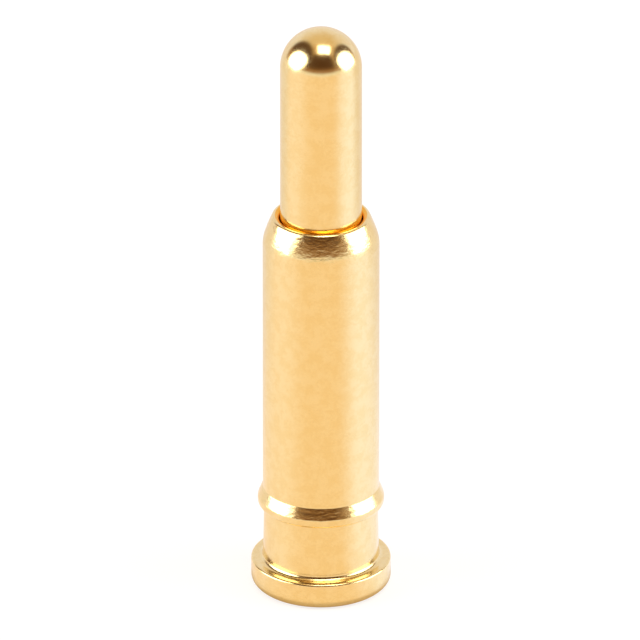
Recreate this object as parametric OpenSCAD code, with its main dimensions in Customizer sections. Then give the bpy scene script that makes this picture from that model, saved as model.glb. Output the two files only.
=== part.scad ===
// Spring-loaded contact pin: a turned barrel with a soldering foot, a round-nosed
// plunger that slides in it, and the coil spring that pushes the plunger out.
// The pin stands on its foot. +Z runs up its axis and the origin is the middle of
// the underside. Millimetres throughout.

/* [Foot] */
// Diameter of the foot
foot_d = 1.80; // [1.70:0.01:2.40]
// Thickness of the foot
foot_h = 0.36; // [0.25:0.01:0.60]
// Radius round the lower edge of the foot
foot_bottom_round = 0.12; // [0.02:0.01:0.16]
// Radius round the upper edge of the foot
foot_top_round = 0.03; // [0.01:0.01:0.05]

/* [Barrel] */
// Outer diameter of the barrel
barrel_d = 1.50; // [1.44:0.01:1.60]
// Wall round the bore
wall = 0.15; // [0.13:0.01:0.18]
// Height of the barrel, from the underside to the top of its lip
barrel_len = 5.22; // [5.00:0.01:6.50]
// Diameter of the drill point in the middle of the bore's floor
point_d = 0.50; // [0.20:0.01:0.70]

/* [Neck and bead] */
// How far the neck is turned down below the barrel at the bead, on the radius
neck_relief = 0.014; // [0.010:0.001:0.030]
// How much the neck widens again towards the foot, on the radius
neck_flare = 0.010; // [0.002:0.001:0.010]
// Radius in the corner between the neck and the foot
neck_fillet = 0.06; // [0.02:0.01:0.08]
// Height of the middle of the press-fit bead
bead_z = 1.19; // [0.80:0.01:2.00]
// How far the bead stands out from the barrel, on the radius
bead_proud = 0.07; // [0.03:0.01:0.10]
// Radius of the bead's round section
bead_round = 0.14; // [0.11:0.01:0.18]

/* [Rolled lip] */
// Angle between the rolled-in end and the axis
lip_angle = 21.5; // [18:0.5:26]
// Radius that blends the barrel into the rolled-in end
lip_blend = 0.50; // [0.30:0.01:0.60]
// Radius over the top of the lip
lip_round = 0.08; // [0.05:0.01:0.09]
// Radius at the mouth, where the plunger comes out
mouth_round = 0.035; // [0.01:0.005:0.05]
// Length of the guide inside the lip, along the axis
lip_t = 0.26; // [0.15:0.01:0.40]

/* [Plunger] */
// Diameter of the plunger
plunger_d = 1.05; // [1.00:0.01:1.08]
// How far the plunger stands out of the lip at rest
reach = 2.62; // [1.60:0.01:4.00]
// Full travel of the plunger, which sets how deep the bore goes
stroke = 1.40; // [0.80:0.05:1.60]
// Length of the collar that the lip holds in
collar_len = 1.00; // [0.60:0.01:1.10]
// Length of the nose that centres the spring
nose_len = 0.25; // [0.10:0.01:0.35]

/* [Spring] */
// Diameter of the spring wire
wire_d = 0.14; // [0.10:0.005:0.15]
// Turns that work, between the two closed end turns
working_turns = 9; // [6:1:10]

/* [Clearances] */
// Between the collar and the bore, on the radius
collar_gap = 0.02; // [0.01:0.005:0.025]
// Between the plunger and the lip, on the radius
lip_gap = 0.02; // [0.015:0.005:0.025]
// Between the collar and the seat under the lip, along the axis
stop_gap = 0.01; // [0.005:0.005:0.02]
// Between the outside of the spring and the bore, on the radius
spring_gap = 0.05; // [0.03:0.01:0.07]
// Between the inside of the spring and the nose, on the radius
nose_gap = 0.05; // [0.03:0.01:0.08]
// Between each end of the spring and the face it bears on
seat_gap = 0.01; // [0.005:0.005:0.02]
// Length that the spring keeps in hand before its turns touch, at full travel
spring_spare = 0.08; // [0.02:0.01:0.15]

/* [Hidden] */
// How far a cut runs past the surface it opens
eps = 0.05;

// How finely turned surfaces and the wire are drawn
turned_fn = 96;
wire_sides = 10;
rings_per_turn = 24;

// Barrel
foot_r = foot_d / 2;
barrel_r = barrel_d / 2;
bore_r = barrel_r - wall;
neck_top_r = barrel_r - neck_relief;
neck_low_r = neck_top_r + neck_flare;
neck_low_z = foot_h + neck_fillet;
bead_r = barrel_r + bead_proud;
// A drill ground to 118 degrees leaves a cone that falls at 31 degrees
point_fall = 31;
point_r = point_d / 2;
point_depth = point_r * tan(point_fall);

// Plunger
plunger_r = plunger_d / 2;
top_z = barrel_len + reach;
dome_z = top_z - plunger_r;

// Lip: the guide round the plunger, and a 45 degree seat below it
guide_r = plunger_r + lip_gap;
guide_z = barrel_len - lip_t;
seat_z = guide_z - (bore_r - guide_r);
// Centre of the round over the lip
crest_r = guide_r + mouth_round;
crest_z = barrel_len - lip_round;
// The rolled-in end is a straight taper between the crest and the blend
taper_top_r = crest_r + lip_round * cos(lip_angle);
taper_top_z = crest_z + lip_round * sin(lip_angle);
taper_low_r = barrel_r - lip_blend * (1 - cos(lip_angle));
taper_low_z = taper_top_z - (taper_low_r - taper_top_r) / tan(lip_angle);
blend_r = barrel_r - lip_blend;
blend_z = taper_low_z - lip_blend * sin(lip_angle);

// Collar, with a 45 degree shoulder that meets the seat
collar_r = bore_r - collar_gap;
collar_top_z = seat_z + (bore_r - collar_r) - stop_gap;
shoulder_top_z = collar_top_z + (collar_r - plunger_r);
tail_z = collar_top_z - collar_len;
tail_chamfer = 0.04;

// Floor of the bore: below the tail by the travel and the spring pressed flat
turns = working_turns + 2;
flat_spring = (turns + 1) * wire_d + 2 * seat_gap;
floor_z = tail_z - stroke - flat_spring - spring_spare;

// Spring, between the floor and the collar's tail
coil_r = bore_r - spring_gap - wire_d / 2;
spring_low_z = floor_z + seat_gap;
spring_high_z = tail_z - seat_gap;
// An end turn is closed: it climbs just over one wire
end_climb = wire_d * 1.03;
work_climb = spring_high_z - spring_low_z - wire_d - 2 * end_climb;

// Nose, inside the spring's top turns
nose_r = coil_r - wire_d / 2 - nose_gap;
nose_chamfer = nose_len / 2;

// A square corner at the origin, hollowed by a circle of radius r. It is taken
// from an outside corner to round it, or added in an inside corner to fill it.
module corner(r) {
    difference() {
        translate([-r, -r]) square(r + eps);
        translate([-r, -r]) circle(r, $fn = turned_fn);
    }
}

module fillet(r) {
    difference() {
        square(r);
        translate([r, r]) circle(r, $fn = turned_fn);
    }
}

// Half section of the foot
module foot_section() {
    difference() {
        square([foot_r, foot_h]);
        translate([foot_r, foot_h]) corner(foot_top_round);
        translate([foot_r, 0]) mirror([0, 1]) corner(foot_bottom_round);
    }
}

// Half section of the neck, the bead and the straight part of the barrel
module body_section() {
    polygon([
        [0, 0], [neck_low_r, 0], [neck_low_r, neck_low_z],
        [neck_top_r, bead_z], [0, bead_z]
    ]);
    translate([neck_low_r, foot_h]) fillet(neck_fillet);
    translate([0, bead_z]) square([barrel_r, blend_z - bead_z]);
    translate([bead_r - bead_round, bead_z]) circle(bead_round, $fn = turned_fn);
}

// Half section of the rolled-in end, solid to the axis
module lip_section() {
    polygon([
        [0, blend_z - eps], [blend_r, blend_z - eps], [blend_r, blend_z],
        [taper_low_r, taper_low_z], [taper_top_r, taper_top_z],
        [crest_r, crest_z], [crest_r, barrel_len], [0, barrel_len]
    ]);
    intersection() {
        translate([blend_r, blend_z]) circle(lip_blend, $fn = 2 * turned_fn);
        translate([0, blend_z - eps]) square([barrel_r, crest_z - blend_z + eps]);
    }
    translate([crest_r, crest_z]) circle(lip_round, $fn = turned_fn);
}

// Half section of everything that is bored out
module bore_section() {
    translate([0, floor_z]) square([bore_r, seat_z - floor_z]);
    polygon([[0, floor_z + eps], [point_r, floor_z + eps], [point_r, floor_z],
             [0, floor_z - point_depth]]);
    polygon([[0, seat_z], [bore_r, seat_z], [guide_r, guide_z], [0, guide_z]]);
    translate([0, guide_z]) square([guide_r, lip_t + eps]);
    translate([guide_r, barrel_len]) mirror([1, 0]) corner(mouth_round);
}

module barrel() {
    color("gold") rotate_extrude($fn = turned_fn) difference() {
        union() {
            foot_section();
            body_section();
            lip_section();
        }
        bore_section();
    }
}

module plunger() {
    color("goldenrod") rotate_extrude($fn = turned_fn) difference() {
        polygon([
            [0, top_z], [plunger_r, top_z], [plunger_r, shoulder_top_z],
            [collar_r, collar_top_z], [collar_r, tail_z + tail_chamfer],
            [collar_r - tail_chamfer, tail_z], [nose_r, tail_z],
            [nose_r, tail_z - nose_len + nose_chamfer],
            [nose_r - nose_chamfer, tail_z - nose_len], [0, tail_z - nose_len]
        ]);
        translate([plunger_r, top_z]) corner(plunger_r);
    }
}

// Height of the wire's middle after t turns
function coil_z(t) =
    spring_low_z + wire_d / 2 + (
        t < 1 ? t * end_climb :
        t > turns - 1 ? end_climb + work_climb + (t - turns + 1) * end_climb :
        end_climb + (t - 1) / working_turns * work_climb
    );

// Point on the wire's surface: t turns along it, at angle a round its section
function wire_point(t, a) =
    let (r = coil_r + wire_d / 2 * cos(a))
    [r * cos(360 * t), r * sin(360 * t), coil_z(t) + wire_d / 2 * sin(a)];

module spring() {
    rings = turns * rings_per_turn;
    points = [
        for (i = [0:rings], j = [0:wire_sides - 1])
            wire_point(i / rings_per_turn, 360 * j / wire_sides)
    ];
    sides = [
        for (i = [0:rings - 1], j = [0:wire_sides - 1])
            let (k = (j + 1) % wire_sides)
            [i * wire_sides + j, i * wire_sides + k,
             (i + 1) * wire_sides + k, (i + 1) * wire_sides + j]
    ];
    low_end = [for (j = [wire_sides - 1:-1:0]) j];
    high_end = [for (j = [0:wire_sides - 1]) rings * wire_sides + j];
    color("silver") polyhedron(points, concat(sides, [low_end, high_end]));
}

barrel();
plunger();
spring();
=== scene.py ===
# %% [markdown]
# # A spring contact pin, turned and plated
#
# The real pin is three pieces on one axis: a turned barrel, a turned plunger
# that slides in it, and a coil spring between them. The frame already holds
# each of them at its true size. This file gives them the smooth skins, the
# gold finish and the light that a close view needs.
#
# The work starts with the frame, because every size and every movement comes
# from it. A piece made here only dresses the body that it rides on.

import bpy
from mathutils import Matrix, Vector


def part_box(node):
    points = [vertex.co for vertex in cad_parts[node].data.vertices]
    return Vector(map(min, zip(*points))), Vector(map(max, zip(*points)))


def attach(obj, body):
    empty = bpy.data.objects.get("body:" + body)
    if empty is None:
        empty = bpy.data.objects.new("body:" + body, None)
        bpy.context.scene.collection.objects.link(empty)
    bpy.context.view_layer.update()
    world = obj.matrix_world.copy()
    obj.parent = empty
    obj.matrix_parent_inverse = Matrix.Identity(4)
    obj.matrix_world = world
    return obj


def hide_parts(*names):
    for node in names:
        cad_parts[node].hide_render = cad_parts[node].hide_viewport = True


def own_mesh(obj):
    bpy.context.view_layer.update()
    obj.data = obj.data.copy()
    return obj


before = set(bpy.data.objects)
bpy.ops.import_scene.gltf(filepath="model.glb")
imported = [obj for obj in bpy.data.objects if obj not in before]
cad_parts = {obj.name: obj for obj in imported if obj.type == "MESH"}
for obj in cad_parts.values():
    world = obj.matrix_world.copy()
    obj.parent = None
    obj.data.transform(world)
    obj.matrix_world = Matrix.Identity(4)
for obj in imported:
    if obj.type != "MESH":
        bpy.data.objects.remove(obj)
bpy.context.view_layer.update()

# %% Modules and the unit
from math import acos, cos, pi, radians, sin, tan

import bmesh
import bpy
from mathutils import Matrix, Vector

MM = 0.001
print("lengths are in metres; one millimetre is", MM)

# %% [markdown]
# ## The sizes of the pin
#
# A turned part is drawn as half of its section: radii and heights. The outer
# heights are read from the frame, and the rest are the same driving sizes as
# in the solid model, so the new skins lie exactly on the solids. Each rounded
# edge is written as its own radius, as on a workshop drawing.

# %% Sizes of the barrel
barrel_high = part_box("barrel")[1]
foot_r = 0.90 * MM
foot_h = 0.36 * MM
foot_bottom_round = 0.12 * MM
foot_top_round = 0.03 * MM
barrel_r = 0.75 * MM
barrel_top = barrel_high.z
neck_top_r = barrel_r - 0.014 * MM
neck_low_r = neck_top_r + 0.010 * MM
neck_fillet = 0.06 * MM
bead_z = 1.21 * MM
bead_r = barrel_r + 0.065 * MM
bead_angle = radians(22.5)
bead_corner = 0.10 * MM
bead_land = 0.025 * MM
bead_round = 0.07 * MM
bead_fillet = 0.014 * MM
print("barrel:", round(barrel_top / MM, 3), "mm high, box", round(barrel_high.x / MM, 3), "mm in radius")

# %% Sizes of the plunger and the spring
plunger_low, plunger_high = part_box("plunger")
spring_low, spring_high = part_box("spring")
plunger_r = 0.525 * MM
plunger_top = plunger_high.z
dome_z = plunger_top - plunger_r
bore_r = barrel_r - 0.15 * MM
collar_r = bore_r - 0.02 * MM
collar_len = 1.00 * MM
nose_len = 0.25 * MM
nose_r = 0.36 * MM
tail_z = plunger_low.z + nose_len
tail_chamfer = 0.04 * MM
collar_top = tail_z + collar_len
wire_r = 0.07 * MM
coil_r = bore_r - 0.05 * MM - wire_r
print("plunger stands", round((plunger_top - barrel_top) / MM, 3), "mm out of the lip")
print("spring is", round((spring_high.z - spring_low.z) / MM, 3), "mm long at rest")

# %% Sizes of the rolled lip
lip_low_angle = radians(18.0)
lip_angle = radians(25.0)
lip_blend = 0.50 * MM
lip_round = 0.035 * MM
mouth_round = 0.07 * MM
guide_r = plunger_r + 0.005 * MM
guide_z = barrel_top - 0.26 * MM
seat_z = guide_z - (bore_r - guide_r)
crest_r = guide_r + mouth_round
crest_z = barrel_top - lip_round
taper_top = (crest_r + lip_round * cos(lip_angle), crest_z + lip_round * sin(lip_angle))
bow_drop = barrel_r - lip_blend * (1 - cos(lip_low_angle)) - taper_top[0]
taper_bow = bow_drop / (cos(lip_low_angle) - cos(lip_angle))
bow_centre = (
    taper_top[0] - taper_bow * cos(lip_angle),
    taper_top[1] - taper_bow * sin(lip_angle),
)
blend_centre = (
    bow_centre[0] + (taper_bow - lip_blend) * cos(lip_low_angle),
    bow_centre[1] + (taper_bow - lip_blend) * sin(lip_low_angle),
)
print("rolled-in end starts at", round(blend_centre[1] / MM, 3), "mm")

# %% Sizes of the drilled floor
floor_z = spring_low.z - 0.01 * MM
point_r = 0.25 * MM
drill_angle = radians(31)
point_z = floor_z - point_r * tan(drill_angle)
print("metal left under the drill point:", round(point_z / MM, 3), "mm")

# %% [markdown]
# ## The camera
#
# The pin stands upright and the camera looks down on it a little, from far
# away through a long lens, so its sides stay parallel. A wide lens close by
# would show the dome and the foot from two different heights. The camera comes
# before the pieces, because it fixes how fine they need to be.

# %% Camera
camera_elevation = radians(26)
camera_distance = 0.32
look_at = Vector((-0.0135 * MM, 0, 3.722 * MM))
view_width = 8.216 * MM
sensor_width = 36.0
nearest_seen = 0.01
farthest_seen = 10
camera_data = bpy.data.cameras.new("camera")
camera_data.sensor_width = sensor_width
camera_data.lens = sensor_width * camera_distance / view_width
camera_data.clip_start = nearest_seen
camera_data.clip_end = farthest_seen
camera = bpy.data.objects.new("camera", camera_data)
bpy.context.scene.collection.objects.link(camera)
toward = Vector((0, -cos(camera_elevation), sin(camera_elevation)))
camera.location = look_at + camera_distance * toward
camera.rotation_euler = (pi / 2 - camera_elevation, 0, 0)
bpy.context.scene.camera = camera
print("lens:", round(camera_data.lens), "mm at", camera_distance, "m")

# %% [markdown]
# ## Turning a profile
#
# A lathe tool draws the part's half section in one sweep: straight cuts and
# round ones. Two helpers do the same in a bmesh. One extrudes the last vertex
# along a straight cut, the other spins it round a centre. A last helper spins
# the whole profile round the axis, which is what the lathe does to the bar.
#
# A straight cut gets a close ring at each end. Smooth shading blends the
# normals of neighbouring faces, and without these rings the curve of a round
# edge would bleed far along the plain wall and bend its reflections.

# %% Pen helpers
hold = 0.008 * MM
edge_steps = 8
small_steps = 10
fillet_steps = 12
corner_steps = 16
dome_steps = 64


def straight(bm, tip, r, z):
    """Cuts straight from the tip to (r, z) and returns the new tip."""
    start = tip.co.copy()
    end = Vector((r, 0, z))
    length = (end - start).length
    stops = [hold / length, 1 - hold / length, 1] if length > 3 * hold else [1]
    for share in stops:
        made = bmesh.ops.extrude_vert_indiv(bm, verts=[tip])
        tip = made["verts"][0]
        tip.co = start.lerp(end, share)
    return tip


def round_cut(bm, tip, centre, angle, steps):
    """Cuts round a centre (r, z) by an angle, outwards and up when positive."""
    made = bmesh.ops.spin(
        bm, geom=[tip], cent=(centre[0], 0, centre[1]), axis=(0, 1, 0),
        angle=-angle, steps=steps, use_duplicate=False,
    )
    return next(v for v in made["geom_last"] if isinstance(v, bmesh.types.BMVert))


# %% Lathe helper
ring_steps = 192
sharp_angle = radians(28)
merge_gap = 1e-8


def turn_profile(bm):
    """Spins the profile in the bmesh round the axis and closes it at the axis."""
    bmesh.ops.spin(
        bm, geom=bm.verts[:] + bm.edges[:], cent=(0, 0, 0), axis=(0, 0, 1),
        angle=2 * pi, steps=ring_steps, use_merge=True, use_duplicate=False,
    )
    bmesh.ops.remove_doubles(bm, verts=bm.verts[:], dist=merge_gap)
    bmesh.ops.recalc_face_normals(bm, faces=bm.faces[:])


def finish_piece(bm, name, body, replaced):
    """Makes the bmesh an object that rides on a body and stands for a node."""
    for face in bm.faces:
        face.smooth = True
    for edge in bm.edges:
        edge.smooth = len(edge.link_faces) == 2 and edge.calc_face_angle() < sharp_angle
    mesh = bpy.data.meshes.new(name)
    bm.to_mesh(mesh)
    bm.free()
    piece = bpy.data.objects.new(name, mesh)
    bpy.context.scene.collection.objects.link(piece)
    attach(piece, body)
    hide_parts(replaced)
    print(name, "has", len(mesh.polygons), "faces")
    return piece


# %% [markdown]
# ## The barrel
#
# The barrel is turned from one bar: the foot that is soldered down, the neck,
# the bead that bites into a plastic housing, the plain wall, and the end that
# is rolled in over the plunger. Its bore is drilled almost to the foot. It
# could be stacked from cylinders and tori, but then the joints between them
# would show in the reflections. One closed profile keeps it one piece of metal.

# %% Barrel, foot and neck
bm = bmesh.new()
tip = bm.verts.new((0, 0, 0))
tip = straight(bm, tip, foot_r - foot_bottom_round, 0)
tip = round_cut(bm, tip, (foot_r - foot_bottom_round, foot_bottom_round), pi / 2, corner_steps)
tip = straight(bm, tip, foot_r, foot_h - foot_top_round)
tip = round_cut(bm, tip, (foot_r - foot_top_round, foot_h - foot_top_round), pi / 2, edge_steps)
tip = straight(bm, tip, neck_low_r + neck_fillet, foot_h)
tip = round_cut(bm, tip, (neck_low_r + neck_fillet, foot_h + neck_fillet), -pi / 2, fillet_steps)
print("foot is", round(2 * foot_r / MM, 3), "mm across and", round(foot_h / MM, 3), "mm high")

# %% [markdown]
# ### The bead
#
# The bead is a collar with a cone above it, so the housing slides over it and
# then can't climb back over its nearly square underside. A plain torus would
# be quicker to make, but it catches the light in one thin line, and the cone
# of the real bead catches it in a band.

# %% Sizes of the bead's turns
bead_cone_r = bead_r - bead_corner * (1 - cos(bead_angle))
bead_cone_z = bead_z + bead_corner * sin(bead_angle)
bead_top_z = bead_cone_z + (bead_cone_r - barrel_r) / tan(bead_angle)
bead_turn = acos(1 - (bead_r - neck_top_r) / (bead_round + bead_fillet))
land_z = bead_z - bead_land
turn_r = bead_r - bead_round * (1 - cos(bead_turn))
turn_z = land_z - bead_round * sin(bead_turn)
fillet_r = turn_r + bead_fillet * cos(bead_turn)
fillet_z = turn_z - bead_fillet * sin(bead_turn)
print("underside turns by", round(bead_turn * 180 / pi, 1), "degrees")

# %% Barrel, bead
tip = straight(bm, tip, fillet_r - bead_fillet, fillet_z)
tip = round_cut(bm, tip, (fillet_r, fillet_z), -bead_turn, small_steps)
tip = round_cut(bm, tip, (bead_r - bead_round, land_z), bead_turn, corner_steps)
tip = straight(bm, tip, bead_r, bead_z)
tip = round_cut(bm, tip, (bead_r - bead_corner, bead_z), bead_angle, small_steps)
tip = straight(bm, tip, barrel_r, bead_top_z)
print("bead runs from", round(fillet_z / MM, 3), "to", round(bead_top_z / MM, 3), "mm")

# %% [markdown]
# ### The rolled-in end
#
# After the plunger is in, a hollow tool presses the rim inwards. The wall
# leaves its straight line in a wide arc, runs on in a slightly bowed taper,
# and turns over into a small round. A bevel on a cylinder's edge would give
# one arc only, so each of these arcs is cut on its own, each starting in the
# direction in which the last one ends.

# %% Barrel, wall and lip
tip = straight(bm, tip, barrel_r, blend_centre[1])
tip = round_cut(bm, tip, blend_centre, lip_low_angle, corner_steps)
tip = round_cut(bm, tip, bow_centre, lip_angle - lip_low_angle, edge_steps)
tip = round_cut(bm, tip, (crest_r, crest_z), pi / 2 - lip_angle, fillet_steps)
tip = round_cut(bm, tip, (crest_r, barrel_top - mouth_round), pi / 2, edge_steps)
print("rim is", round(2 * crest_r / MM, 3), "mm across at its top")

# %% Barrel, bore
tip = straight(bm, tip, guide_r, guide_z)
tip = straight(bm, tip, bore_r, seat_z)
tip = straight(bm, tip, bore_r, floor_z)
tip = straight(bm, tip, point_r, floor_z)
tip = straight(bm, tip, 0, point_z)
print("profile of the barrel has", len(bm.verts), "points")
turn_profile(bm)
barrel = finish_piece(bm, "barrel_turned", "barrel", "barrel")

# %% [markdown]
# ## The plunger
#
# The plunger is the piece that touches. Its nose is a true half ball, so it
# meets a flat pad at one point however it stands. Inside the barrel it has a
# wider collar that the lip holds in, and a short nose on its tail that keeps
# the spring central.

# %% Plunger
bm = bmesh.new()
tip = bm.verts.new((0, 0, plunger_low.z))
tip = straight(bm, tip, nose_r - nose_len / 2, plunger_low.z)
tip = straight(bm, tip, nose_r, plunger_low.z + nose_len / 2)
tip = straight(bm, tip, nose_r, tail_z)
tip = straight(bm, tip, collar_r - tail_chamfer, tail_z)
tip = straight(bm, tip, collar_r, tail_z + tail_chamfer)
tip = straight(bm, tip, collar_r, collar_top)
tip = straight(bm, tip, plunger_r, collar_top + collar_r - plunger_r)
tip = straight(bm, tip, plunger_r, dome_z)
tip = round_cut(bm, tip, (0, dome_z), pi / 2, dome_steps)
turn_profile(bm)
plunger = finish_piece(bm, "plunger_turned", "plunger", "plunger")

# %% [markdown]
# ## The spring
#
# A coil is the one shape that a lathe can't cut. The spin operator can still
# make it: while it turns the wire's round section about the axis, it also
# lifts it a little at each step. The first and the last turn are closed, so
# they climb by little more than one wire, and the turns between are open.

# %% Spring
coil_steps = 48
wire_sides = 20
spring_length = spring_high.z - spring_low.z
working_turns = 9
closed_gap = 1.03
end_climb = 2 * wire_r * closed_gap
work_climb = (spring_length - 2 * wire_r - 2 * end_climb) / working_turns


def coil(bm, section, turns, climb):
    """Spins the wire's section up a stretch of coil and returns its far end."""
    made = bmesh.ops.spin(
        bm, geom=section, cent=(0, 0, 0), axis=(0, 0, 1), angle=2 * pi * turns,
        steps=coil_steps * turns, dvec=(0, 0, climb / coil_steps), use_duplicate=False,
    )
    return made["geom_last"]


bm = bmesh.new()
section_centre = Matrix.Translation((coil_r, 0, spring_low.z + wire_r))
section_place = section_centre @ Matrix.Rotation(pi / 2, 4, "X")
made = bmesh.ops.create_circle(bm, segments=wire_sides, radius=wire_r, matrix=section_place)
section = made["verts"] + bm.edges[:]
section = coil(bm, section, 1, end_climb)
section = coil(bm, section, working_turns, work_climb)
section = coil(bm, section, 1, end_climb)
bmesh.ops.holes_fill(bm, edges=[e for e in bm.edges if e.is_boundary], sides=wire_sides)
bmesh.ops.recalc_face_normals(bm, faces=bm.faces[:])
spring = finish_piece(bm, "spring_coil", "barrel", "spring")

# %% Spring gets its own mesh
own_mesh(spring)

# %% [markdown]
# ## The gold
#
# The pieces are brass with a few micrometres of gold over nickel. Nothing of
# the brass shows. What makes plated gold look real is not its colour alone:
# the lathe leaves fine rings under the plating, and the plating itself is
# slightly uneven. Both only bend the reflections, so both are bumps.
#
# Two node groups make them, because the barrel and the plunger use the same
# effects at different strengths.

# %% Helpers for nodes
def add_node(tree, kind, **settings):
    """Adds a node and sets its properties."""
    node = tree.nodes.new(kind)
    for name, value in settings.items():
        setattr(node, name, value)
    return node


def feed(tree, socket, value):
    """Links an output to a socket, or sets a plain value on it."""
    if isinstance(value, bpy.types.NodeSocket):
        tree.links.new(value, socket)
    else:
        socket.default_value = value


def calc(tree, operation, *values):
    """A Math node on the given values; returns its output."""
    node = add_node(tree, "ShaderNodeMath", operation=operation)
    for socket, value in zip(node.inputs, values):
        feed(tree, socket, value)
    return node.outputs[0]


def ramp_between(tree, value, low, high):
    """0 below low, 1 above high, smooth between; falls if low is above high."""
    node = add_node(tree, "ShaderNodeMapRange", interpolation_type="SMOOTHSTEP")
    for name, v in (("Value", value), ("From Min", low), ("From Max", high)):
        feed(tree, node.inputs[name], v)
    return node.outputs["Result"]


def mix_colour(tree, share, first, second):
    """Mixes two colours by a share."""
    node = add_node(tree, "ShaderNodeMix", data_type="RGBA")
    feed(tree, node.inputs["Factor"], share)
    feed(tree, node.inputs[6], first)
    feed(tree, node.inputs[7], second)
    return node.outputs[2]


def object_place(tree):
    """The place on the piece, in its own metres, as x, y and z."""
    parts = add_node(tree, "ShaderNodeSeparateXYZ")
    feed(tree, parts.inputs[0], add_node(tree, "ShaderNodeTexCoord").outputs["Object"])
    return parts.outputs


def distance_from_axis(tree, x, y):
    """How far a place lies from the pin's axis."""
    x_squared = calc(tree, "MULTIPLY", x, x)
    y_squared = calc(tree, "MULTIPLY", y, y)
    return calc(tree, "SQRT", calc(tree, "ADD", x_squared, y_squared))


# %% Helper for node groups
def new_group(name, inputs, outputs):
    """An empty shader node group with the given float inputs and outputs."""
    tree = bpy.data.node_groups.new(name, "ShaderNodeTree")
    for label, value in inputs:
        socket = tree.interface.new_socket(label, in_out="INPUT", socket_type="NodeSocketFloat")
        socket.default_value = value
    for label in outputs:
        tree.interface.new_socket(label, in_out="OUTPUT", socket_type="NodeSocketFloat")
    return tree, add_node(tree, "NodeGroupInput"), add_node(tree, "NodeGroupOutput")


# %% [markdown]
# ### Rings left by the lathe
#
# A turning tool leaves rings that change quickly along the section and hardly
# at all round the axis. A wave texture would make them as even as a screw
# thread. Here noise is stretched instead: it runs fast with height and radius,
# and slowly with the direction round the axis. Drift says how slowly.

# %% Group: rings left by the lathe
least_radius = 1e-6
ring_detail = 2.0


def make_turning_rings():
    """Height that changes along the section and hardly at all round the axis."""
    tree, given, put = new_group(
        "turning_rings", [("Rings per mm", 30.0), ("Drift", 0.4)], ["Height"],
    )
    x, y, z = object_place(tree)
    radius = distance_from_axis(tree, x, y)
    safe_radius = calc(tree, "MAXIMUM", radius, least_radius)
    per_metre = calc(tree, "MULTIPLY", given.outputs["Rings per mm"], 1 / MM)
    around = add_node(tree, "ShaderNodeCombineXYZ")
    for socket, side in zip(around.inputs, (x, y)):
        way = calc(tree, "DIVIDE", side, safe_radius)
        feed(tree, socket, calc(tree, "MULTIPLY", way, given.outputs["Drift"]))
    feed(tree, around.inputs["Z"], calc(tree, "MULTIPLY", z, per_metre))
    noise = add_node(tree, "ShaderNodeTexNoise", noise_dimensions="4D")
    feed(tree, noise.inputs["Vector"], around.outputs[0])
    feed(tree, noise.inputs["W"], calc(tree, "MULTIPLY", radius, per_metre))
    feed(tree, noise.inputs["Scale"], 1.0)
    feed(tree, noise.inputs["Detail"], ring_detail)
    feed(tree, put.inputs["Height"], noise.outputs["Fac"])
    return tree


turning_rings = make_turning_rings()
print("group:", turning_rings.name)


# %% [markdown]
# ### Uneven plating
#
# Gold grows from many small seeds in the bath, so it is a little thicker and
# paler in some places, and it has a fine grain. Two noises of different size
# are enough for both.

# %% Group: uneven plating
blotch_detail = 2.0
grain_detail = 3.0


def make_plating_mottle():
    """Soft blotches of the plating, as a height and as a finer grain."""
    tree, given, put = new_group(
        "plating_mottle", [("Blotches per mm", 7.0), ("Grains per mm", 30.0)], ["Blotch", "Grain"],
    )
    place = add_node(tree, "ShaderNodeTexCoord").outputs["Object"]
    sorts = (
        ("Blotch", "Blotches per mm", blotch_detail),
        ("Grain", "Grains per mm", grain_detail),
    )
    for label, source, detail in sorts:
        noise = add_node(tree, "ShaderNodeTexNoise")
        feed(tree, noise.inputs["Vector"], place)
        feed(tree, noise.inputs["Scale"], calc(tree, "MULTIPLY", given.outputs[source], 1 / MM))
        feed(tree, noise.inputs["Detail"], detail)
        feed(tree, put.inputs[label], noise.outputs["Fac"])
    return tree


plating_mottle = make_plating_mottle()
print("group:", plating_mottle.name)


# %% [markdown]
# ### Marks of the forming tools
#
# The foot, the bead and the rolled-in end are shaped by a form tool or a
# press, and both leave coarser, broken marks that the plating doesn't hide.
# They could be cut into the mesh, but they are thousandths of a millimetre
# deep. So they are a bump as well, kept to bands of height with soft ends.

# %% Marks of the forming tools
chatter_rings = 26.0
chatter_drift = 9.0
band_soft = 0.03 * MM


def forming_marks(tree, z, bands, depth):
    """Height of the coarser marks in millimetres, only in bands (low, high) of z."""
    worked = 0.0
    for low, high in bands:
        above = ramp_between(tree, z, low - band_soft, low + band_soft)
        below = ramp_between(tree, z, high + band_soft, high - band_soft)
        worked = calc(tree, "MAXIMUM", worked, calc(tree, "MULTIPLY", above, below))
    chatter = add_node(tree, "ShaderNodeGroup", node_tree=turning_rings)
    chatter.inputs["Rings per mm"].default_value = chatter_rings
    chatter.inputs["Drift"].default_value = chatter_drift
    marks = calc(tree, "MULTIPLY", chatter.outputs["Height"], worked)
    return calc(tree, "MULTIPLY", marks, depth / MM)


def add_heights(tree, *layers):
    """Adds up layers, each an output from 0 to 1 and its depth in metres."""
    height = 0.0
    for layer, depth in layers:
        height = calc(tree, "ADD", height, calc(tree, "MULTIPLY", layer, depth / MM))
    return height


# %% [markdown]
# ### Colour of the gold
#
# Between the lip and the plunger the light is thrown to and fro many times,
# and gold takes some of its blue each time, so the mouth looks deep orange.
# The renderer stops after a few bounces and would leave it dark. So the deep orange of that bounced
# light is painted into the mouth's colour, by its distance from the axis.

# %% Colour of the gold
gold_pale = (0.965, 0.785, 0.40, 1)
gold_deep = (0.94, 0.735, 0.34, 1)
# Painted light: the deep orange that light bounced between lip and plunger would give the mouth.
gold_mouth_bounce_light = (1.0, 0.50, 0.05, 1)
blotch_share = 0.6
pale_below = 0.40
deep_above = 0.60
mouth_soft = 0.006 * MM


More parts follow.
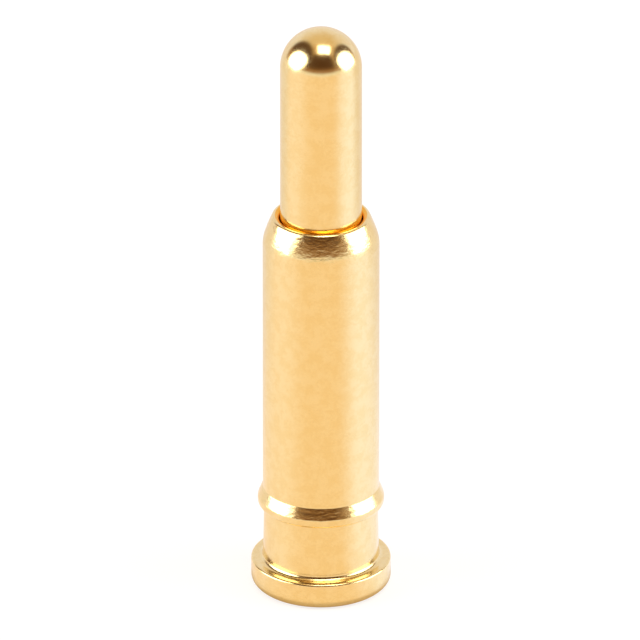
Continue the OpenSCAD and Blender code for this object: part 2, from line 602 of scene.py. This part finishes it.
def plating_colour(tree, blotch, grain):
    """Pale and deep gold, mixed by the unevenness of the plating."""
    coarse = calc(tree, "MULTIPLY", blotch, blotch_share)
    fine = calc(tree, "MULTIPLY", grain, 1 - blotch_share)
    uneven = ramp_between(tree, calc(tree, "ADD", coarse, fine), pale_below, deep_above)
    return mix_colour(tree, uneven, gold_pale, gold_deep)


def paint_mouth_bounce_light(tree, place, plating, mouth_r, mouth_z):
    """The plating's colour with the painted orange of light bounced in the mouth, inside a radius and
    above a height.
    """
    x, y, z = place
    radius = distance_from_axis(tree, x, y)
    within = ramp_between(tree, radius, mouth_r + mouth_soft, mouth_r - mouth_soft)
    above = ramp_between(tree, z, mouth_z - mouth_soft, mouth_z + mouth_soft)
    return mix_colour(tree, calc(tree, "MULTIPLY", within, above), plating, gold_mouth_bounce_light)


print("gold runs from", gold_pale[:3], "to", gold_deep[:3], "and in the mouth", gold_mouth_bounce_light[:3])

# %% Gold material
plain_rings = 34


def make_gold(name, depths, roughness, bands=(), band_depth=0.0, mouth=None):
    """Plated gold. Depths of rings, blotches and grain are in metres."""
    material = bpy.data.materials.new(name)
    material.use_nodes = True
    tree = material.node_tree
    shader = tree.nodes["Principled BSDF"]
    shader.inputs["Metallic"].default_value = 1.0
    rings = add_node(tree, "ShaderNodeGroup", node_tree=turning_rings)
    rings.inputs["Rings per mm"].default_value = plain_rings
    blotch, grain = add_node(tree, "ShaderNodeGroup", node_tree=plating_mottle).outputs
    place = object_place(tree)
    height = add_heights(tree, *zip((rings.outputs["Height"], blotch, grain), depths))
    if bands:
        height = calc(tree, "ADD", height, forming_marks(tree, place[2], bands, band_depth))
    bump = add_node(tree, "ShaderNodeBump")
    bump.inputs["Distance"].default_value = MM
    bump.inputs["Strength"].default_value = 1.0
    feed(tree, bump.inputs["Height"], height)
    feed(tree, shader.inputs["Normal"], bump.outputs[0])
    colour = plating_colour(tree, blotch, grain)
    if mouth:
        colour = paint_mouth_bounce_light(tree, place, colour, *mouth)
    feed(tree, shader.inputs["Base Color"], colour)
    rough = add_node(tree, "ShaderNodeMapRange")
    feed(tree, rough.inputs["Value"], grain)
    feed(tree, rough.inputs["To Min"], roughness[0])
    feed(tree, rough.inputs["To Max"], roughness[1])
    feed(tree, shader.inputs["Roughness"], rough.outputs[0])
    return material


# %% Gold on the barrel
formed_bands = [(blend_centre[1], barrel_top), (bead_z, bead_top_z), (0, foot_h)]
gold_turned = make_gold(
    "gold_turned", depths=(0.0003 * MM, 0.0003 * MM, 0.00012 * MM), roughness=(0.16, 0.24),
    bands=formed_bands, band_depth=0.0034 * MM, mouth=(crest_r - 0.008 * MM, seat_z),
)
barrel.data.materials.append(gold_turned)
print("bands of forming marks:", len(formed_bands))

# %% Gold on the plunger
gold_polished = make_gold(
    "gold_polished", depths=(0.0001 * MM, 0.0002 * MM, 0.00008 * MM), roughness=(0.15, 0.22),
)
plunger.data.materials.append(gold_polished)
print("gold finishes:", gold_turned.name, gold_polished.name)

# %% [markdown]
# ## The spring's wire
#
# The wire is drawn stainless steel: plain grey metal with a dull sheen. It is
# seen only when the pin is cut open, so the mottle group that is already here
# is enough to break up its colour and its gloss.

# %% Spring material
steel_dark = (0.56, 0.55, 0.53, 1)
steel_light = (0.68, 0.67, 0.65, 1)
steel_gloss_span = (-0.6, 1.6)
steel = bpy.data.materials.new("drawn_wire")
steel.use_nodes = True
steel_tree = steel.node_tree
steel_shader = steel_tree.nodes["Principled BSDF"]
steel_shader.inputs["Metallic"].default_value = 1.0
steel_mottle = add_node(steel_tree, "ShaderNodeGroup", node_tree=plating_mottle)
steel_colour = mix_colour(steel_tree, steel_mottle.outputs["Blotch"], steel_dark, steel_light)
feed(steel_tree, steel_shader.inputs["Base Color"], steel_colour)
steel_rough = ramp_between(steel_tree, steel_mottle.outputs["Grain"], *steel_gloss_span)
feed(steel_tree, steel_shader.inputs["Roughness"], steel_rough)
spring.data.materials.append(steel)
print("wire finish:", steel.name)

# %% [markdown]
# ## The room around the pin
#
# Polished gold has no look of its own: it shows the room. So the room is part
# of the picture. The pin stands on a white table between two large soft boxes
# that reach down to the table, with a small lamp overhead. In front, above
# the table, the room is dark, and behind stands a pale backdrop. The room is
# painted in the world shader by direction, and the soft boxes are real lamps.

# %% Colours and places of the room
dark_room = (0.085, 0.034, 0.009, 1)
dark_low = (0.34, 0.16, 0.048, 1)
mid_room = (0.58, 0.37, 0.19, 1)
pale_low = (0.89, 0.86, 0.96, 1)
pale_high = (0.76, 0.58, 0.38, 1)
white = (1, 1, 1, 1)
left_box = (-82, 21)
right_box = (86, 18)
left_frame = (42, 52)
right_frame = (34, 41)
dark_from_left = (-46.0, -30.0)
dark_from_right = (54.0, 36.0)
dark_from_top = (66.0, 54.0)
dark_rise = (11.0, 23.0)
backdrop_rise = (15.0, 65.0)
table_edge = (9.0, 4.0)
front_turn = (0.12, -0.12)
table_turn = (0.55, 0.2)
print("soft boxes at", left_box, "and", right_box, "degrees")

# %% Helpers for directions
to_degrees = 180 / pi


def way_to(azimuth, elevation):
    """The direction at an azimuth from the front and an elevation, in degrees."""
    a = radians(azimuth)
    e = radians(elevation)
    return Vector((sin(a) * cos(e), -cos(a) * cos(e), sin(e)))


def azimuth_of(tree, x, y):
    """The azimuth from the front of a direction or a place, in degrees."""
    turned = calc(tree, "ARCTAN2", x, calc(tree, "MULTIPLY", y, -1.0))
    return calc(tree, "MULTIPLY", turned, to_degrees)


def near_way(tree, ways, way, full, none):
    """1 within the full angle of a way in the room, 0 beyond the other angle."""
    product = add_node(tree, "ShaderNodeVectorMath", operation="DOT_PRODUCT")
    feed(tree, product.inputs[0], ways)
    feed(tree, product.inputs[1], way)
    return ramp_between(tree, product.outputs["Value"], cos(radians(none)), cos(radians(full)))


# %% World
def dark_shape(tree, ways, azimuth, elevation):
    """Where the room is dark: ahead of the pin and round each soft box."""
    left = ramp_between(tree, azimuth, *dark_from_left)
    right = ramp_between(tree, azimuth, *dark_from_right)
    top = ramp_between(tree, elevation, *dark_from_top)
    ahead = calc(tree, "MULTIPLY", calc(tree, "MULTIPLY", left, right), top)
    frame_left = near_way(tree, ways, way_to(*left_box), *left_frame)
    frame_right = near_way(tree, ways, way_to(*right_box), *right_frame)
    return calc(tree, "MAXIMUM", ahead, calc(tree, "MAXIMUM", frame_left, frame_right))


def paint_world():
    """Fills the world by direction and shows it white to the camera."""
    world = bpy.data.worlds.new("room")
    bpy.context.scene.world = world
    world.use_nodes = True
    tree = world.node_tree
    shader = tree.nodes["Background"]
    parts = add_node(tree, "ShaderNodeSeparateXYZ")
    ways = add_node(tree, "ShaderNodeTexCoord").outputs["Generated"]
    feed(tree, parts.inputs[0], ways)
    x, y, z = parts.outputs
    elevation = calc(tree, "MULTIPLY", calc(tree, "ARCSINE", z), to_degrees)
    azimuth = azimuth_of(tree, x, y)
    backdrop_share = ramp_between(tree, elevation, *backdrop_rise)
    backdrop = mix_colour(tree, backdrop_share, pale_low, pale_high)
    room = mix_colour(tree, ramp_between(tree, y, *front_turn), backdrop, mid_room)
    dark = mix_colour(tree, ramp_between(tree, elevation, *dark_rise), dark_low, dark_room)
    room = mix_colour(tree, dark_shape(tree, ways, azimuth, elevation), room, dark)
    below = ramp_between(tree, elevation, *table_edge)
    low = calc(tree, "MULTIPLY", below, ramp_between(tree, y, *table_turn))
    room = mix_colour(tree, low, room, white)
    path = add_node(tree, "ShaderNodeLightPath")
    seen = calc(tree, "MAXIMUM", path.outputs["Is Camera Ray"], path.outputs["Is Transmission Ray"])
    feed(tree, shader.inputs["Color"], mix_colour(tree, seen, room, white))
    shader.inputs["Strength"].default_value = 1.0
    return world


print("world:", paint_world().name)


# %% [markdown]
# ### The lamps
#
# A round metal part needs large lamps, because it shows a small one as a
# glaring dot. Two wide soft boxes stand left and right, tilted inwards, and
# the small square one overhead gives the bright spot on the dome. Their power
# is worked out from how bright their face should look, so a change of size
# doesn't change the look of the gold.

# %% Lamps
lamp_distance = 0.50
lamp_radiance = 3.6


def soft_box(name, shape, way, lean, width, height):
    """A flat lamp that faces the pin. Its power follows from how bright it looks."""
    light = bpy.data.lights.new(name, "AREA")
    light.shape = shape
    light.size = width
    light.size_y = height
    area = width * height * (pi / 4 if shape == "ELLIPSE" else 1)
    light.energy = lamp_radiance * pi * area
    lamp = bpy.data.objects.new(name, light)
    bpy.context.scene.collection.objects.link(lamp)
    lamp.location = lamp_distance * way
    lamp.rotation_mode = "QUATERNION"
    facing = way.to_track_quat("Z", "Y").to_matrix().to_4x4()
    leaning = Matrix.Rotation(radians(lean), 4, way) @ facing
    lamp.rotation_quaternion = leaning.to_quaternion()
    lamp.visible_camera = False
    print(name, "gives", round(light.energy, 2), "W")


soft_box("lamp_left", "ELLIPSE", way_to(*left_box), lean=32, width=0.62, height=0.39)
soft_box("lamp_right", "ELLIPSE", way_to(*right_box), lean=-32, width=0.58, height=0.38)
soft_box("lamp_over", "RECTANGLE", way_to(29, 75), lean=-29, width=0.27, height=0.22)


# %% [markdown]
# ## The table
#
# The table is plain white and takes a soft shadow from the foot. To the camera and to the metal it also
# glows a little, so it reads as white paper without more light on the pin. A second lamp for the table
# alone would also light the gold. The glow that the metal sees has painted light in it: it is tinted by
# side for the light of the soft boxes and the backdrop, and a painted shadow darkens it close round the
# foot.

# %% Table
table_size = 2.0
bm = bmesh.new()
bmesh.ops.create_grid(bm, x_segments=1, y_segments=1, size=table_size / 2)
table_mesh = bpy.data.meshes.new("table")
bm.to_mesh(table_mesh)
bm.free()
table = bpy.data.objects.new("table", table_mesh)
bpy.context.scene.collection.objects.link(table)
print("table is", table_size, "m wide")

# %% Paper of the table
table_glow = 0.76
table_grey = (0.30, 0.30, 0.30, 1)
# Painted light: the tints in which the metal sees the table stand in for the light of the soft boxes and
# the backdrop, and the darkest one is a painted shadow round the foot.
painted_front_light = (0.88, 0.64, 0.42, 1)
painted_left_light = (0.95, 0.82, 0.80, 1)
painted_right_light = (0.98, 1.02, 1.30, 1)
painted_back_light = (0.74, 0.68, 0.70, 1)
painted_foot_shadow = (0.45, 0.30, 0.15, 1)
left_side = (-22.0, -80.0)
right_side = (28.0, 80.0)
back_side = (0.0, 9 * MM)
foot_shadow_radii = (1.15 * MM, 0.88 * MM)


def painted_table_light(tree):
    """Painted light and shadow in the table as the metal sees it: tinted by side for the soft boxes and
    the backdrop, with a painted shadow round the foot.
    """
    x, y, z = object_place(tree)
    azimuth = azimuth_of(tree, x, y)
    distance = distance_from_axis(tree, x, y)
    tint = mix_colour(tree, ramp_between(tree, azimuth, *left_side), painted_front_light, painted_left_light)
    tint = mix_colour(tree, ramp_between(tree, azimuth, *right_side), tint, painted_right_light)
    tint = mix_colour(tree, ramp_between(tree, y, *back_side), tint, painted_back_light)
    return mix_colour(tree, ramp_between(tree, distance, *foot_shadow_radii), tint, painted_foot_shadow)


def make_table_paper():
    """White paper: part of its light is its own, part is what falls on it."""
    material = bpy.data.materials.new("table_paper")
    material.use_nodes = True
    tree = material.node_tree
    tree.nodes.remove(tree.nodes["Principled BSDF"])
    paper = add_node(tree, "ShaderNodeBsdfDiffuse")
    paper.inputs["Color"].default_value = table_grey
    path = add_node(tree, "ShaderNodeLightPath")
    glow = add_node(tree, "ShaderNodeEmission")
    glow_colour = mix_colour(tree, path.outputs["Is Glossy Ray"], white, painted_table_light(tree))
    feed(tree, glow.inputs["Color"], glow_colour)
    mirrored = calc(tree, "MAXIMUM", path.outputs["Is Glossy Ray"], path.outputs["Is Transmission Ray"])
    seen = calc(tree, "MAXIMUM", path.outputs["Is Camera Ray"], mirrored)
    feed(tree, glow.inputs["Strength"], calc(tree, "MULTIPLY", seen, table_glow))
    both = add_node(tree, "ShaderNodeAddShader")
    feed(tree, both.inputs[0], paper.outputs[0])
    feed(tree, both.inputs[1], glow.outputs[0])
    feed(tree, tree.nodes["Material Output"].inputs["Surface"], both.outputs[0])
    return material


table_mesh.materials.append(make_table_paper())
print("table has", table_mesh.materials[0].name)

# %% [markdown]
# ## Colour
#
# The view transform is plain, so a colour shows as it is written.

# %% Finish
bpy.context.scene.view_settings.view_transform = "Standard"
